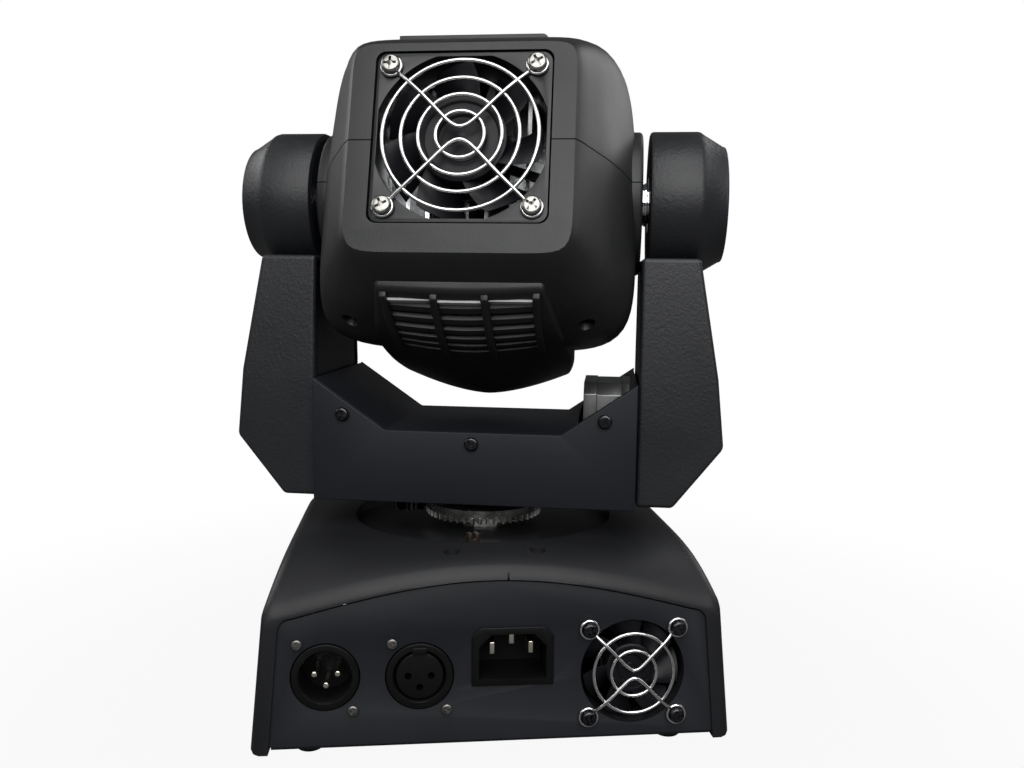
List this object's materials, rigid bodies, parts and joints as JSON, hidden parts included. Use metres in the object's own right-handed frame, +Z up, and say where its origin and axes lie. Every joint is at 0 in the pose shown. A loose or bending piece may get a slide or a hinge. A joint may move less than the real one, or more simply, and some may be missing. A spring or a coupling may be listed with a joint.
{
  "type": "led moving head spot",
  "caption": "Moving head spot light: box base with sockets and vent, panning two-armed yoke and tilting rounded head with lens, beam wheels and rear fan.",
  "frame": {"origin": "on the pan axis, at floor level under the feet", "axes": "+Z up along the pan axis; -Y towards the connector panel, +Y towards the panel with the display; +X right as seen facing the connector panel"},
  "size_m": [0.197, 0.162, 0.2627],
  "materials": {
    "moulding": "fine moulded texture",
    "textured_paint": "leathery textured paint",
    "sheet_paint": "semi-gloss powder coat",
    "black_plastic": "satin",
    "bright_wire": "polished",
    "steel": "turned",
    "aluminium": "satin",
    "rubber": "matte",
    "circuit_board": "satin",
    "clear_glass": "clear",
    "dark_window": "gloss"
  },
  "bodies": {
    "base": {"base_cover": "moulding", "bottom_plate": "sheet_paint", "foot_rear_left": "rubber", "foot_rear_right": "rubber", "foot_front_left": "rubber", "foot_front_right": "rubber", "power_supply": "circuit_board", "pan_post": "steel", "pan_gear": "steel", "pan_washer": "black_plastic", "pan_retaining_ring": "steel", "rear_panel": "sheet_paint", "data_in_socket": "black_plastic", "data_out_socket": "black_plastic", "mains_inlet": "black_plastic", "base_fan_frame": "black_plastic", "base_fan_guard": "bright_wire", "front_panel": "sheet_paint", "display_window": "dark_window", "control_board": "circuit_board"},
    "yoke": {"yoke_channel": "sheet_paint", "yoke_lid": "sheet_paint", "pan_bearing": "steel", "pan_motor": "steel", "tilt_motor": "aluminium", "tilt_belt": "rubber", "left_arm_cover": "textured_paint", "left_bracket": "steel", "left_tilt_bearing": "steel", "right_arm_cover": "textured_paint", "right_bracket": "steel", "right_tilt_bearing": "steel"},
    "head": {"head_upper_shell": "moulding", "head_lower_shell": "moulding", "head_fan_frame": "black_plastic", "head_fan_guard": "bright_wire", "left_tilt_shaft": "steel", "right_tilt_shaft": "steel", "tilt_pulley": "aluminium", "optics_frame": "sheet_paint", "heat_sink": "aluminium", "led_module": "aluminium", "condenser_lens": "clear_glass", "colour_motor": "steel", "gobo_motor": "steel", "lens_barrel": "black_plastic", "front_bezel": "black_plastic", "front_lens": "clear_glass"},
    "base_fan_rotor": {"base_fan_rotor": "black_plastic"},
    "menu_button": {"menu_button": "black_plastic"},
    "down_button": {"down_button": "black_plastic"},
    "up_button": {"up_button": "black_plastic"},
    "enter_button": {"enter_button": "black_plastic"},
    "pan_pinion": {"pan_pinion": "steel"},
    "tilt_motor_pulley": {"tilt_motor_pulley": "aluminium"},
    "head_fan_rotor": {"head_fan_rotor": "black_plastic"},
    "colour_wheel": {"colour_wheel": "aluminium"},
    "gobo_wheel": {"gobo_wheel": "aluminium"},
    "focus_lens": {"focus_lens": "clear_glass"}
  },
  "joints": [
    {"name": "pan", "type": "hinge", "parent": "base", "child": "yoke", "pos_m": [0, 0, 0.0839], "axis": [0, 0, 1], "range_deg": [-257.8, 282.2]},
    {"name": "tilt", "type": "hinge", "parent": "yoke", "child": "head", "pos_m": [0, 0, 0.2002], "axis": [0.9774, -0.2113, 0], "range_deg": [-29.6, 240.4]},
    {"name": "pan_pinion_spin", "type": "hinge", "parent": "yoke", "child": "pan_pinion", "pos_m": [-0.0303, 0.00655, 0.076], "axis": [0, 0, 1], "range_deg": [-890, 970]},
    {"name": "tilt_motor_pulley_spin", "type": "hinge", "parent": "yoke", "child": "tilt_motor_pulley", "pos_m": [0.07233, -0.01564, 0.113], "axis": [0.9774, -0.2113, 0], "range_deg": [-80, 645]},
    {"name": "base_fan_spin", "type": "hinge", "parent": "base", "child": "base_fan_rotor", "pos_m": [0.0491, -0.06245, 0.03088], "axis": [0, 0.9993, -0.0379], "continuous": true},
    {"name": "head_fan_spin", "type": "hinge", "parent": "head", "child": "head_fan_rotor", "pos_m": [-0.01121, -0.05183, 0.21481], "axis": [0.2037, 0.9423, -0.2656], "continuous": true},
    {"name": "colour_wheel_spin", "type": "hinge", "parent": "head", "child": "colour_wheel", "pos_m": [0.02043, 0.00748, 0.21607], "axis": [0.2037, 0.9423, -0.2656], "continuous": true},
    {"name": "gobo_wheel_spin", "type": "hinge", "parent": "head", "child": "gobo_wheel", "pos_m": [-0.0148, 0.01855, 0.21514], "axis": [0.2037, 0.9423, -0.2656], "continuous": true},
    {"name": "focus_slide", "type": "slide", "parent": "head", "child": "focus_lens", "axis": [0.2037, 0.9423, -0.2656], "range_m": [-0.009, 0.016]},
    {"name": "menu_press", "type": "slide", "parent": "base", "child": "menu_button", "axis": [0, -0.9993, -0.0379], "range_m": [0, 0.001], "stiffness_N_per_m": 400, "springref_m": -0.0012},
    {"name": "down_press", "type": "slide", "parent": "base", "child": "down_button", "axis": [0, -0.9993, -0.0379], "range_m": [0, 0.001], "stiffness_N_per_m": 400, "springref_m": -0.0012},
    {"name": "up_press", "type": "slide", "parent": "base", "child": "up_button", "axis": [0, -0.9993, -0.0379], "range_m": [0, 0.001], "stiffness_N_per_m": 400, "springref_m": -0.0012},
    {"name": "enter_press", "type": "slide", "parent": "base", "child": "enter_button", "axis": [0, -0.9993, -0.0379], "range_m": [0, 0.001], "stiffness_N_per_m": 400, "springref_m": -0.0012}
  ],
  "couplings": [
    {"joint": "pan_pinion_spin", "follows": "pan", "ratio": 3.4286},
    {"joint": "tilt_motor_pulley_spin", "follows": "tilt", "ratio": 2.6667}
  ]
}
